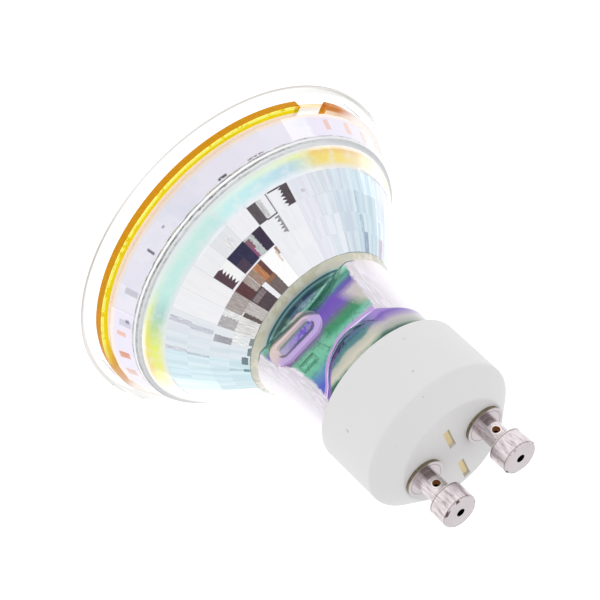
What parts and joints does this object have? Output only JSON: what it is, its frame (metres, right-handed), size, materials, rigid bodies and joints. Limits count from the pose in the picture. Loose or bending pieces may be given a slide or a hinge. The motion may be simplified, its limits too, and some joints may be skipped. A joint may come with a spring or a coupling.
{
  "type": "spotlight bulb",
  "caption": "Reflector spotlight bulb with a faceted mirror bowl, a clear flat front, a flat-sided glass neck, and a white cap with waisted contact pins for a twist-lock holder.",
  "frame": {"origin": "centre of the rim's front face, on the lamp's axis", "axes": "+Z along the lamp's axis from the front face to the contact pins; X runs through the centres of both contact pins, with the live pin on +X; the picture is taken from the -Y side"},
  "size_m": [0.05, 0.05, 0.0525],
  "materials": {
    "mirror_glass": "clear pressed glass with an iridescent mirror coating inside",
    "cover_glass": "clear, smooth",
    "board_laminate": "amber glass-epoxy laminate, bare",
    "chip_ceramic": "white body with a yellow light window",
    "cap_white": "matt, finely grained",
    "cement": "rough",
    "pin_nickel": "nickel-plated, satin",
    "capacitor_sleeve": "shrink sleeve",
    "ferrite": "pressed and fired, dull",
    "copper_wire": "enamelled copper",
    "chip_black": "moulded",
    "film_box": "dipped",
    "resistor_coat": "painted",
    "wire_white": "insulated",
    "wire_red": "insulated",
    "wire_black": "insulated"
  },
  "bodies": {
    "root": {"bridge_rectifier": "chip_black", "cap": "cap_white", "cement_bead": "cement", "contact_pin_live": "pin_nickel", "contact_pin_neutral": "pin_nickel", "driver_board": "board_laminate", "driver_chip": "chip_black", "electrolytic_capacitor": "capacitor_sleeve", "film_capacitor": "film_box", "front_cover": "cover_glass", "fusible_resistor": "resistor_coat", "glass_reflector": "mirror_glass", "inductor_core": "ferrite", "inductor_winding": "copper_wire", "led_wire_minus": "wire_black", "led_wire_plus": "wire_red", "light_board": "board_laminate", "light_chip_01": "chip_ceramic", "light_chip_02": "chip_ceramic", "light_chip_03": "chip_ceramic", "light_chip_04": "chip_ceramic", "light_chip_05": "chip_ceramic", "light_chip_06": "chip_ceramic", "light_chip_07": "chip_ceramic", "light_chip_08": "chip_ceramic", "light_chip_09": "chip_ceramic", "light_chip_10": "chip_ceramic", "light_chip_11": "chip_ceramic", "light_chip_12": "chip_ceramic", "neutral_wire": "wire_white"}
  },
  "joints": []
}
